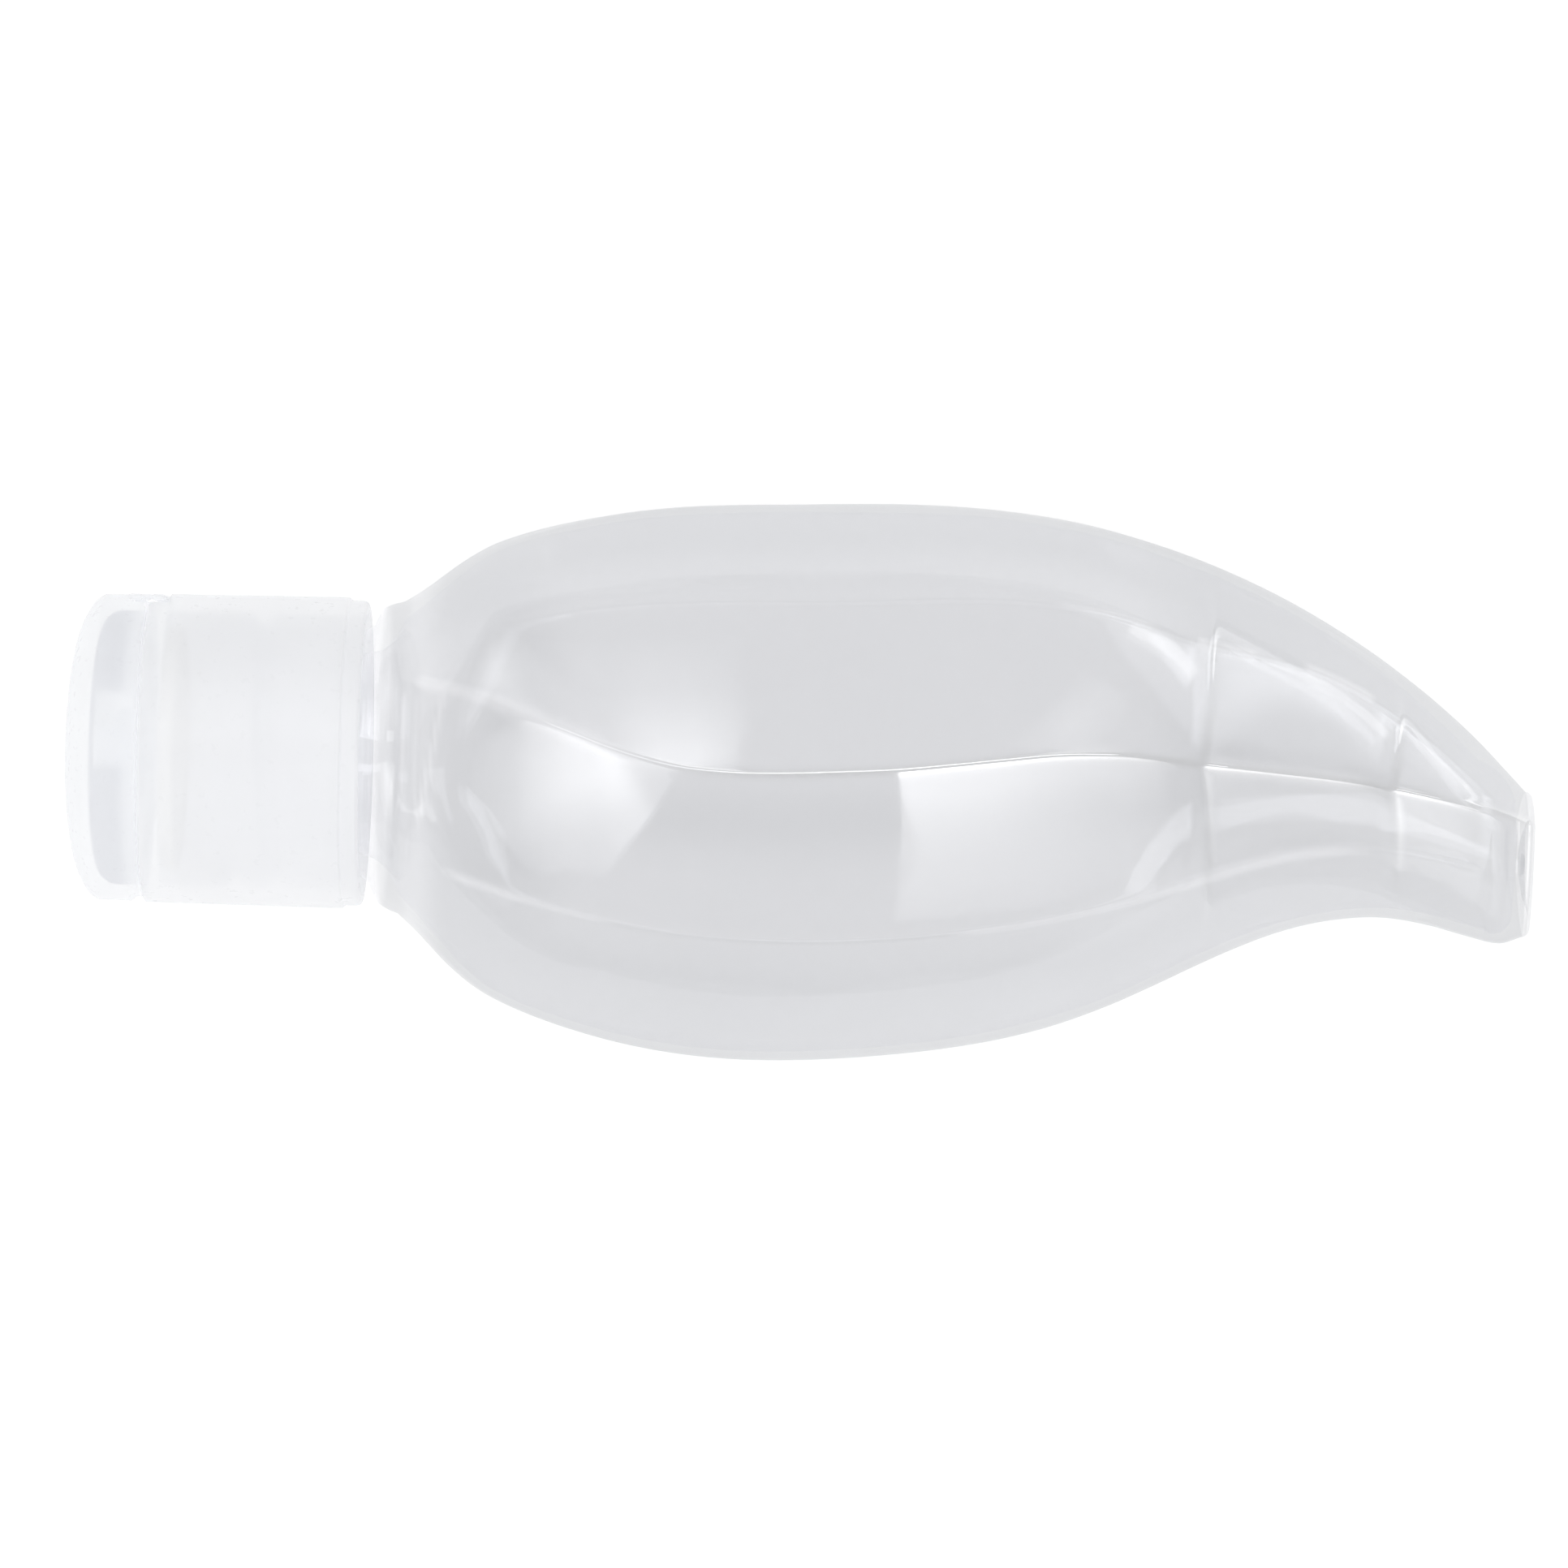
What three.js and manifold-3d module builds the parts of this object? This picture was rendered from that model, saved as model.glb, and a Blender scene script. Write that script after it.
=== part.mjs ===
// Travel squeeze bottle lying on its flat back: a clear five-ridged body with a
// bent stem, and a translucent screw cap with a hinged flip lid.
// Units: millimetres. +Z up. The neck axis runs along X, with the cap at -X.
import * as THREE from 'three';
import { mergeVertices } from 'three/addons/utils/BufferGeometryUtils.js';
import Module from 'manifold-3d';

const wasm = await Module();
wasm.setup();

// ---------------------------------------------------------------- dimensions
// Placement: x = 0 is where the cap's skirt meets the collar, y = z = 0 is the neck axis.
const AXIS_HEIGHT = 15.5;        // neck axis above the surface the bottle lies on
const ORIGIN_X = 32.05;          // middle of the overall length
const ORIGIN_Y = -1.2455;        // middle of the overall width

// Bottle
const WALL = 0.8;                // blown wall
const END_WALL = 1.3;            // thicker stem end
const STEM_END_X = 86.6;         // flat end of the stem
const FACE_STEPS = 6;            // facets on each of the five faces
const FLAT_SOFTNESS = 0.25;      // how gently the two back ridges run into the resting plane
const ROUND_TO_RIDGED = [2.2, 9.5]; // the round collar turns into the ridged body over this stretch

// Sections of the body: x, then the y of the ridges: top, bottom, front, lower back, upper back
const SECTIONS = [
  [2.4, 11.42, -11.88, 5.70, -7.40, 7.40],
  [4.0, 12.39, -13.29, 5.56, -8.16, 8.20],
  [6.0, 13.65, -15.18, 5.07, -9.01, 8.90],
  [8.0, 14.73, -16.70, 4.48, -9.78, 9.60],
  [10.0, 15.65, -17.86, 3.81, -10.47, 10.20],
  [12.5, 16.60, -18.96, 2.88, -11.22, 10.80],
  [15.5, 17.47, -19.97, 1.75, -11.98, 11.36],
  [19.0, 18.18, -20.86, 0.48, -12.68, 11.80],
  [23.0, 18.68, -21.52, -0.50, -13.23, 12.10],
  [27.0, 18.92, -21.84, -0.84, -13.53, 12.28],
  [31.0, 19.05, -21.86, -0.82, -13.63, 12.36],
  [35.0, 19.19, -21.65, -0.62, -13.54, 12.47],
  [39.0, 19.27, -21.27, -0.36, -13.26, 12.69],
  [43.0, 19.19, -20.73, 0.10, -12.84, 12.88],
  [47.0, 18.90, -19.97, 0.60, -12.26, 12.94],
  [51.0, 18.38, -18.88, 1.05, -11.53, 12.72],
  [55.0, 17.60, -17.36, 1.14, -10.62, 12.20],
  [58.5, 16.68, -15.74, 0.92, -9.62, 11.30],
  [61.5, 15.70, -14.26, 0.62, -8.58, 10.34],
  [64.5, 14.53, -12.86, 0.36, -7.55, 9.62],
  [67.5, 13.17, -11.66, 0.12, -6.60, 9.05],
  [70.5, 11.59, -10.82, -0.14, -5.88, 8.25],
  [73.5, 9.80, -10.38, -0.46, -5.52, 7.00],
  [76.0, 8.12, -10.36, -0.84, -5.48, 5.58],
  [79.0, 5.87, -10.83, -1.38, -5.86, 3.50],
  [82.0, 3.30, -11.61, -2.00, -6.47, 1.00],
  [84.3, 1.02, -12.06, -2.47, -6.94, -1.10],
  [86.0, -0.72, -11.55, -2.95, -7.15, -2.75],
];
const BODY_STATIONS = [2.4, 4.2, 6.2, 8.6, 11.5, 15, 19, 24, 30, 36, 42, 47, 51.5, 55.5, 59, 61.6, 65, 69, 73, 76, 79.5, 83, 85.2, 86.0];

// Neck finish (20 mm, single-start thread)
const NECK_R = 9.15;
const BORE_R = 7.3;
const RIM_X = -14.0;
const BEAD_R = 9.9;
const THREAD_PITCH = 3.175;
const THREAD_START_X = -12.6;
const NECK_THREAD = { root: 9.0, tip: 9.85, halfRoot: 0.85, halfTip: 0.4, from: 0, turns: 1.5 };
const CAP_THREAD = { root: 10.4, tip: 9.45, halfRoot: 0.85, halfTip: 0.4, from: 0.35, turns: 1.25, offset: 1.38 };
const THREAD_STEPS = 24;         // facets per turn
const THREAD_RUNOUT = 0.1;       // turns over which a thread fades at each end

// Closure
const ROUND_STEPS = 40;
const SKIRT_R = 11.6;            // at the open end
const SKIRT_TOP_R = 11.5;        // at the parting line
const SKIRT_END_X = -0.3;
const CAP_BORE_R = 10.2;
const DECK_TOP_X = -16.45;
const DECK_UNDER_X = -15.2;
const LAND_R = 9.75;             // raised land the lid closes over
const LAND_X = -17.15;
const SPOUT_R = 3.2;
const SPOUT_X = -19.1;
const ORIFICE_R = 1.7;
const LID_R = 11.42;
const LID_RIM_X = -16.75;
const LID_TOP_X = -22.5;
const LID_WALL = 1.2;
const PIN_R = 1.3;
const PIN_TIP_X = -17.6;
const GASKET = { inner: 6.0, outer: 9.1, from: -15.1, to: -14.1 };

// Living hinge at +Y: a shallow pocket in cap base and lid holds three thin straps
const HINGE = { half: 4.6, pocketY: 10.85, from: -18.1, to: -15.0, strapIn: 11.1, strapOut: 11.42, strapFrom: -17.85, strapTo: -15.25 };
const STRAPS = { hinge_web: [-1.15, 1.15], hinge_strap_front: [2.1, 4.2], hinge_strap_back: [-4.2, -2.1] };

// ---------------------------------------------------------------- helpers
const RIDGE_SIDE = 0.309017;     // height of the two side ridges, as a share of the section's radius
const RIDGE_BACK = 0.809017;     // depth of the two back ridges
const RIDGE_SPAN = 0.951057;     // half width of the section

function smoothstep(a, b, v) {
  const t = Math.min(1, Math.max(0, (v - a) / (b - a)));
  return t * t * (3 - 2 * t);
}

// Cubic through the section table, column c
function column(c, x) {
  const T = SECTIONS, n = T.length;
  let i = 0;
  while (i < n - 2 && x > T[i + 1][0]) i++;
  const slope = (k) => {
    const a = Math.max(0, k - 1), b = Math.min(n - 1, k + 1);
    return (T[b][c] - T[a][c]) / (T[b][0] - T[a][0]);
  };
  const h = T[i + 1][0] - T[i][0], t = (x - T[i][0]) / h;
  const t2 = t * t, t3 = t2 * t;
  return (2 * t3 - 3 * t2 + 1) * T[i][c] + (t3 - 2 * t2 + t) * h * slope(i)
    + (-2 * t3 + 3 * t2) * T[i + 1][c] + (t3 - t2) * h * slope(i + 1);
}

// Depth of the back ridges: the regular depth, run gently into the resting plane
function backDepth(r) {
  const d = FLAT_SOFTNESS, F = AXIS_HEIGHT;
  if (r <= F - d) return r;
  if (r >= F + d) return F;
  return r - (r - (F - d)) ** 2 / (4 * d);
}

// Five ridge points [y, z] at x, in the order front, top, upper back, lower back, bottom
function ridges(x) {
  const top = column(1, x), bottom = column(2, x), front = column(3, x), low = column(4, x), up = column(5, x);
  const mid = (top + bottom) / 2, half = (top - bottom) / 2, R = half / RIDGE_SPAN;
  const zFront = Math.sqrt(Math.max(0, R * R - (front - mid) ** 2));
  const zBack = -backDepth(RIDGE_BACK * R);
  return { mid, half, R, pts: [[front, zFront], [top, RIDGE_SIDE * R], [up, zBack], [low, zBack], [bottom, RIDGE_SIDE * R]] };
}

// Bulge of the faces, as a share of their width
function bulge(x) {
  return 0.15 - 0.05 * smoothstep(5, 18, x) - 0.03 * smoothstep(52, 68, x);
}

// Point of the outer skin at x, turned by f of a full turn from the front ridge towards the top ridge
function skin(x, f) {
  const { mid, half, pts } = ridges(x);
  const u = (((f % 1) + 1) % 1) * 5, k = Math.min(4, Math.floor(u + 1e-9)), t = u - k;
  const [y0, z0] = pts[k], [y1, z1] = pts[(k + 1) % 5];
  const dy = y1 - y0, dz = z1 - z0, L = Math.hypot(dy, dz);
  let sag = bulge(x) * L;
  if (k === 2) sag = Math.min(sag, 0.5 * Math.max(0, AXIS_HEIGHT + Math.min(z0, z1)));
  const s = 4 * t * (1 - t) * sag;
  // the ridges run clockwise seen along +X, so this side of the chord is the outside
  let y = y0 + dy * t - (dz / L) * s;
  let z = z0 + dz * t + (dy / L) * s;
  const w = smoothstep(ROUND_TO_RIDGED[0], ROUND_TO_RIDGED[1], x), a = 2 * Math.PI * f;
  y = (1 - w) * (mid + half * Math.sin(a)) + w * y;
  z = (1 - w) * (half * Math.cos(a)) + w * z;
  return new THREE.Vector3(x, y, Math.max(z, -AXIS_HEIGHT));
}

// The skin moved inwards by the wall; at a ridge the two sides are averaged
function innerSkin(x, f, wall) {
  const e = 0.004, dx = 0.05;
  const p = skin(x, f);
  const along = skin(Math.min(x + dx, 86.0), f).sub(skin(Math.max(x - dx, 2.4), f));
  const nA = skin(x, f).sub(skin(x, f - e)).cross(along).normalize();
  const nB = skin(x, f + e).sub(skin(x, f)).cross(along).normalize();
  const n = nA.clone().add(nB).normalize();
  if (n.y * (p.y - ridges(x).mid) + n.z * p.z < 0) n.negate();
  const c = Math.max(0.75, Math.abs(n.dot(nA)));
  return p.addScaledVector(n, -wall / c);
}

function plain(geometry) {
  for (const name of Object.keys(geometry.attributes)) if (name !== 'position') geometry.deleteAttribute(name);
  return mergeVertices(geometry, 1e-4);
}

function solid(geometry) {
  const g = plain(geometry);
  return new wasm.Manifold(new wasm.Mesh({
    numProp: 3,
    vertProperties: new Float32Array(g.attributes.position.array),
    triVerts: new Uint32Array(g.index.array),
  }));
}

function surface(manifold) {
  const m = manifold.getMesh();
  const g = new THREE.BufferGeometry();
  g.setAttribute('position', new THREE.BufferAttribute(new Float32Array(m.vertProperties), 3));
  g.setIndex(new THREE.BufferAttribute(new Uint32Array(m.triVerts), 1));
  g.computeVertexNormals();
  return g;
}

// Solid of revolution about X. The profile [x, r] runs from +X to -X along the outside.
function revolve(profile, steps) {
  return new THREE.LatheGeometry(profile.map(([x, r]) => new THREE.Vector2(r, -x)), steps).rotateZ(Math.PI / 2);
}

function box(x0, x1, y0, y1, z0, z1) {
  return new THREE.BoxGeometry(x1 - x0, y1 - y0, z1 - z0).translate((x0 + x1) / 2, (y0 + y1) / 2, (z0 + z1) / 2);
}

// Right-hand thread: a straight trapezoidal bar, wound round the X axis
function thread({ root, tip, halfRoot, halfTip, from, turns, offset = 0 }) {
  const bar = new THREE.Shape([
    new THREE.Vector2(root, -halfRoot), new THREE.Vector2(tip, -halfTip),
    new THREE.Vector2(tip, halfTip), new THREE.Vector2(root, halfRoot),
  ]);
  const g = new THREE.ExtrudeGeometry(bar, { depth: turns, steps: Math.round(turns * THREAD_STEPS), bevelEnabled: false });
  const p = g.attributes.position;
  for (let i = 0; i < p.count; i++) {
    const w = p.getZ(i);
    const fade = Math.max(0.02, Math.min(1, w / THREAD_RUNOUT, (turns - w) / THREAD_RUNOUT));
    const r = root + (p.getX(i) - root) * fade, a = 2 * Math.PI * (from + w);
    p.setXYZ(i, THREAD_START_X + offset + THREAD_PITCH * (from + w) - p.getY(i), r * Math.cos(a), r * Math.sin(a));
  }
  return solid(g);
}

// ---------------------------------------------------------------- bottle
// One profile, from the middle of the stem's end, along the skin to the mouth, and back inside.
const N = 5 * FACE_STEPS;
const rings = [];
const endMid = ridges(86.0);
const endPoint = (x, f, share) => {
  const p = skin(86.0, f);
  return new THREE.Vector3(x, endMid.mid + (p.y - endMid.mid) * share, p.z * share);
};
rings.push(() => new THREE.Vector3(STEM_END_X, endMid.mid, 0));
rings.push((f) => endPoint(STEM_END_X, f, 0.86));
for (const x of [...BODY_STATIONS].reverse()) rings.push((f) => skin(x, f));
const round = (x, r, shift = 0) => (f) => {
  const a = 2 * Math.PI * f;
  return new THREE.Vector3(x, shift + r * Math.sin(a), r * Math.cos(a));
};
rings.push(round(1.4, 11.28, -0.2), round(0.8, 10.95, -0.15), round(0.45, 10.3, -0.1), round(0.2, 9.6));
rings.push(round(-0.6, NECK_R), round(-2.3, NECK_R), round(-2.55, BEAD_R), round(-3.45, BEAD_R), round(-3.7, NECK_R));
rings.push(round(RIM_X + 0.35, NECK_R), round(RIM_X, NECK_R - 0.3), round(RIM_X, BORE_R + 0.2), round(RIM_X + 0.25, BORE_R));
rings.push(round(-1.0, BORE_R), round(0.6, BORE_R + 0.45), round(1.6, BORE_R + 1.3, -0.1), round(2.3, BORE_R + 2.4, -0.15));
const INNER_STATIONS = [3.4, 5.2, 7.4, ...BODY_STATIONS.filter((x) => x > 8 && x < 83.5)];
for (const x of INNER_STATIONS) {
  const wall = WALL + 0.35 * smoothstep(70, 84, x) + 0.25 * (1 - smoothstep(3, 9, x));
  rings.push((f) => innerSkin(x, f, wall));
}
const innerEnd = STEM_END_X - END_WALL;
rings.push((f) => endPoint(innerEnd - 0.2, f, 0.8), (f) => endPoint(innerEnd, f, 0.6));
rings.push(() => new THREE.Vector3(innerEnd, endMid.mid, 0));

const bottleGeometry = new THREE.LatheGeometry(rings.map((_, j) => new THREE.Vector2(j === 0 || j === rings.length - 1 ? 0 : 10, j)), N);
{
  const p = bottleGeometry.attributes.position;
  for (let i = 0; i <= N; i++) {
    for (let j = 0; j < rings.length; j++) {
      const v = rings[j]((i % N) / N);
      p.setXYZ(i * rings.length + j, v.x, v.y, v.z);
    }
  }
}
const bottle = solid(bottleGeometry).add(thread(NECK_THREAD));

// ---------------------------------------------------------------- seal
const gasket = revolve([
  [GASKET.to, GASKET.inner], [GASKET.to, GASKET.outer], [GASKET.from, GASKET.outer], [GASKET.from, GASKET.inner], [GASKET.to, GASKET.inner],
], 30);

// ---------------------------------------------------------------- cap base
const pocket = (x0, x1) => solid(box(x0, x1, HINGE.pocketY, HINGE.pocketY + 4, -HINGE.half, HINGE.half));
const capBase = solid(revolve([
  [SKIRT_END_X, CAP_BORE_R + 0.25],
  [SKIRT_END_X, SKIRT_R - 0.75],
  [SKIRT_END_X - 0.3, SKIRT_R - 0.3],
  [SKIRT_END_X - 0.95, SKIRT_R],
  [DECK_TOP_X + 0.2, SKIRT_TOP_R],
  [DECK_TOP_X, SKIRT_TOP_R - 0.2],
  [DECK_TOP_X, LAND_R],
  [LAND_X + 0.2, LAND_R],
  [LAND_X, LAND_R - 0.2],
  [LAND_X, LAND_R - 1.1],
  [DECK_TOP_X, LAND_R - 1.3],
  [DECK_TOP_X, SPOUT_R + 0.5],
  [DECK_TOP_X - 0.4, SPOUT_R],
  [SPOUT_X + 0.5, SPOUT_R - 0.25],
  [SPOUT_X, SPOUT_R - 0.75],
  [SPOUT_X, ORIFICE_R + 0.25],
  [SPOUT_X + 0.3, ORIFICE_R],
  [DECK_UNDER_X, ORIFICE_R],
  [DECK_UNDER_X, CAP_BORE_R],
  [SKIRT_END_X - 0.6, CAP_BORE_R],
  [SKIRT_END_X, CAP_BORE_R + 0.25],
], ROUND_STEPS)).add(thread(CAP_THREAD)).subtract(pocket(DECK_TOP_X - 1, HINGE.to));

// ---------------------------------------------------------------- flip lid
// Outside from rim to crown, then the hollow underside with the sealing pin in the middle.
const lid = solid(revolve([
  [LID_RIM_X, LID_R - LID_WALL],
  [LID_RIM_X, LID_R - 0.15],
  [LID_RIM_X - 0.15, LID_R],
  [LID_TOP_X + 2.6, LID_R - 0.02],
  [LID_TOP_X + 2.18, 11.16],
  [LID_TOP_X + 1.82, 10.8],
  [LID_TOP_X + 1.45, 10.2],
  [LID_TOP_X + 1.09, 9.5],
  [LID_TOP_X + 0.73, 8.4],
  [LID_TOP_X + 0.36, 6.5],
  [LID_TOP_X + 0.1, 3.8],
  [LID_TOP_X, 0],
  [PIN_TIP_X, 0],
  [PIN_TIP_X, PIN_R - 0.35],
  [PIN_TIP_X - 0.5, PIN_R],
  [LID_TOP_X + 1.6, PIN_R + 0.1],
  [LID_TOP_X + 1.25, PIN_R + 0.5],
  [LID_TOP_X + 1.45, 5.5],
  [LID_TOP_X + 2.0, 8.2],
  [LID_TOP_X + 2.7, 9.6],
  [LID_TOP_X + 3.4, LID_R - LID_WALL],
  [LID_RIM_X, LID_R - LID_WALL],
].filter((p, i, all) => i === 0 || p[0] !== all[i - 1][0] || p[1] !== all[i - 1][1]), ROUND_STEPS))
  .subtract(pocket(HINGE.from, LID_RIM_X + 1))
  // fingernail lip opposite the hinge
  .subtract(solid(box(LID_RIM_X - 0.6, LID_RIM_X + 1, -13, -(LID_R - 0.3), -4.5, 4.5)));

// ---------------------------------------------------------------- assembly
const clear = (name) => new THREE.MeshStandardMaterial({ name, color: 0xdddee0, roughness: 0.06, metalness: 0, transparent: true, opacity: 0.35 });
const milky = (name) => new THREE.MeshStandardMaterial({ name, color: 0xecedef, roughness: 0.35, metalness: 0 });
const soft = (name) => new THREE.MeshStandardMaterial({ name, color: 0xf4f4f2, roughness: 0.7, metalness: 0 });

const closure = new THREE.Group();
const assembly = new THREE.Group();
function piece(parent, name, geometry, material) {
  const mesh = new THREE.Mesh(geometry, material(name));
  mesh.name = name;
  parent.add(mesh);
  return mesh;
}
piece(assembly, 'bottle_body', surface(bottle), clear);
piece(closure, 'seal_gasket', gasket, soft);
piece(closure, 'cap_base', surface(capBase), milky);
piece(closure, 'flip_lid', surface(lid), milky);
for (const [name, [z0, z1]] of Object.entries(STRAPS)) {
  piece(closure, name, box(HINGE.strapFrom, HINGE.strapTo, HINGE.strapIn, HINGE.strapOut, z0, z1), milky);
}
assembly.add(closure);
assembly.position.set(-ORIGIN_X, -ORIGIN_Y, AXIS_HEIGHT);

export default assembly;
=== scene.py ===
import math

import bmesh
import bpy
import numpy as np
from mathutils import Matrix, Vector


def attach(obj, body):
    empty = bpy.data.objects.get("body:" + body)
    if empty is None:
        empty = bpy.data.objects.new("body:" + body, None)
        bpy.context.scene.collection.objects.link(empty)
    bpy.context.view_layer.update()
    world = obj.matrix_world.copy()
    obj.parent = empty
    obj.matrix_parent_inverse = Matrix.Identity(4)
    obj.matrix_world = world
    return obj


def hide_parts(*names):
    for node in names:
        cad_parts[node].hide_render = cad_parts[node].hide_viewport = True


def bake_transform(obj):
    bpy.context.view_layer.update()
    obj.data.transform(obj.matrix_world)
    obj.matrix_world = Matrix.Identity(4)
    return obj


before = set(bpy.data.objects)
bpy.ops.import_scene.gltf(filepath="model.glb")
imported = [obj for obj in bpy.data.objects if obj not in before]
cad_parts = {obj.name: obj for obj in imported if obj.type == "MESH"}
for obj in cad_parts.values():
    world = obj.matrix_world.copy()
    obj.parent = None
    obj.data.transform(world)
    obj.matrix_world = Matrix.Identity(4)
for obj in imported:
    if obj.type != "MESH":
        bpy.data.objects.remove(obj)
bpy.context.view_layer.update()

# ------------------------------------------------------------------ dimensions (millimetres)
# Local frame: x = 0 is where the cap's skirt meets the collar, y = z = 0 is the neck axis.
AXIS_HEIGHT = 15.5
SHIFT = np.array([-32.05, 1.2455, AXIS_HEIGHT])     # local to row frame
MM = 0.001

WALL = 0.6
STEM_END_X = 86.6
INNER_END_X = 85.3
RIDGE_SOFTNESS = 0.26                               # blur of the ridges along the section
BEAD, BEAD_HALF = 0.10, 0.42                        # height and half width of the bead that runs along each ridge
BEAD_SHARE = [1.0, 0.6, 0.5, 0.5, 0.6]              # front, top, upper back, lower back, bottom

# x, then the y of the ridges: top, bottom, front, lower back, upper back
SECTIONS = np.array([
    [2.4, 11.42, -11.88, 5.70, -7.40, 7.40],
    [4.0, 12.39, -13.29, 5.56, -8.16, 8.20],
    [6.0, 13.65, -15.18, 5.07, -9.01, 8.90],
    [8.0, 14.73, -16.70, 4.48, -9.78, 9.60],
    [10.0, 15.65, -17.86, 3.81, -10.47, 10.20],
    [12.5, 16.60, -18.96, 2.88, -11.22, 10.80],
    [15.5, 17.47, -19.97, 1.75, -11.98, 11.36],
    [19.0, 18.18, -20.86, 0.48, -12.68, 11.80],
    [23.0, 18.68, -21.52, -0.50, -13.23, 12.10],
    [27.0, 18.92, -21.84, -0.84, -13.53, 12.28],
    [31.0, 19.05, -21.86, -0.82, -13.63, 12.36],
    [35.0, 19.19, -21.65, -0.62, -13.54, 12.47],
    [39.0, 19.27, -21.27, -0.36, -13.26, 12.69],
    [43.0, 19.19, -20.73, 0.10, -12.84, 12.88],
    [47.0, 18.90, -19.97, 0.60, -12.26, 12.94],
    [51.0, 18.38, -18.88, 1.05, -11.53, 12.72],
    [55.0, 17.60, -17.36, 1.14, -10.62, 12.20],
    [58.5, 16.68, -15.74, 0.92, -9.62, 11.30],
    [61.5, 15.70, -14.26, 0.62, -8.58, 10.34],
    [64.5, 14.53, -12.86, 0.36, -7.55, 9.62],
    [67.5, 13.17, -11.66, 0.12, -6.60, 9.05],
    [70.5, 11.59, -10.82, -0.14, -5.88, 8.25],
    [73.5, 9.80, -10.38, -0.46, -5.52, 7.00],
    [76.0, 8.12, -10.36, -0.84, -5.48, 5.58],
    [79.0, 5.87, -10.83, -1.38, -5.86, 3.50],
    [82.0, 3.30, -11.61, -2.00, -6.47, 1.00],
    [84.3, 1.02, -12.06, -2.47, -6.94, -1.10],
    [86.0, -0.72, -11.55, -2.95, -7.15, -2.75],
])

NECK_R, BORE_R, RIM_X, BEAD_R = 9.15, 7.3, -14.0, 9.9
PITCH, THREAD_START = 3.175, -12.6
NECK_THREAD = dict(tip=9.85, half_root=0.78, half_tip=0.36, start=0.0, turns=1.5, offset=0.0)
CAP_THREAD = dict(tip=9.45, half_root=0.78, half_tip=0.36, start=0.35, turns=1.25, offset=1.38)

SKIRT_R, SKIRT_TOP_R, SKIRT_END_X, CAP_BORE_R = 11.6, 11.5, -0.3, 10.2
DECK_TOP_X, DECK_UNDER_X = -16.45, -15.2
LAND_R, LAND_X = 9.75, -17.15
SPOUT_R, SPOUT_X, ORIFICE_R = 3.2, -19.1, 1.7
LID_R, LID_RIM_X, LID_TOP_X, LID_WALL = 11.42, -16.62, -22.5, 1.2
PIN_R, PIN_TIP_X = 1.3, -17.6
HINGE_X, HINGE_Y = -16.6, 11.2
POCKET_Y, POCKET_HALF, POCKET_FROM, POCKET_TO = 10.85, 4.6, -18.1, -15.0
STRAPS = {"hinge_web": (-1.15, 1.15), "hinge_strap_front": (2.1, 4.2), "hinge_strap_back": (-4.2, -2.1)}


# ------------------------------------------------------------------ mesh helpers
def smoothstep(a, b, v):
    t = np.clip((np.asarray(v, float) - a) / (b - a), 0, 1)
    return t * t * (3 - 2 * t)


def mesh_object(name, points, faces, material, marks=None):
    """A smooth-shaded mesh from local millimetres, with its faces turned outwards. marks are numbers kept with its points."""
    points = (np.asarray(points, float) + SHIFT) * MM
    data = bpy.data.meshes.new(name)
    data.from_pydata(points.tolist(), [], [list(map(int, f)) for f in faces])
    for mark, values in (marks or {}).items():
        data.attributes.new(mark, "FLOAT", "POINT").data.foreach_set("value", np.asarray(values, float))
    bm = bmesh.new()
    bm.from_mesh(data)
    bmesh.ops.remove_doubles(bm, verts=bm.verts, dist=1e-8)
    bmesh.ops.recalc_face_normals(bm, faces=bm.faces)
    bm.to_mesh(data)
    bm.free()
    data.polygons.foreach_set("use_smooth", [True] * len(data.polygons))
    data.materials.append(material)
    piece = bpy.data.objects.new(name, data)
    bpy.context.scene.collection.objects.link(piece)
    return piece


def skin_rings(rings, first_point=None, last_point=None, closed=False):
    """Points and faces of a tube through rings of the same size. It ends in a point, is left to close on itself, or both ends meet."""
    rings = [np.asarray(r, float) for r in rings]
    m = len(rings[0])
    points = np.concatenate(rings)
    faces = []
    j = np.arange(m)
    n = len(rings)
    for i in range(n if closed else n - 1):
        a, b = i * m, ((i + 1) % n) * m
        faces += np.stack([a + j, a + (j + 1) % m, b + (j + 1) % m, b + j], 1).tolist()
    extra = []
    if first_point is not None:
        extra.append(first_point)
        c = len(points)
        faces += [[c, int((k + 1) % m), int(k)] for k in j]
    if last_point is not None:
        c = len(points) + len(extra)
        extra.append(last_point)
        o = (n - 1) * m
        faces += [[c, int(o + k), int(o + (k + 1) % m)] for k in j]
    if extra:
        points = np.concatenate([points, np.asarray(extra, float)])
    return points, faces


def rounded(corners, steps=6):
    """A profile [x, r, fillet] with its corners rounded. The first and last points stay."""
    pts = [np.array(c[:2], float) for c in corners]
    out = [pts[0]]
    for i in range(1, len(pts) - 1):
        p, q, s = pts[i - 1], pts[i], pts[i + 1]
        f = corners[i][2] if len(corners[i]) > 2 else 0.0
        a, b = np.linalg.norm(p - q), np.linalg.norm(s - q)
        d = min(f, 0.48 * a, 0.48 * b)
        if d < 1e-6:
            out.append(q)
            continue
        p1, p2 = q + (p - q) / a * d, q + (s - q) / b * d
        for t in np.linspace(0, 1, steps + 1):
            out.append((1 - t) ** 2 * p1 + 2 * t * (1 - t) * q + t * t * p2)
    out.append(pts[-1])
    keep = [out[0]]
    for q in out[1:]:
        if np.linalg.norm(q - keep[-1]) > 1e-5:
            keep.append(q)
    return np.array(keep)


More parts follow.
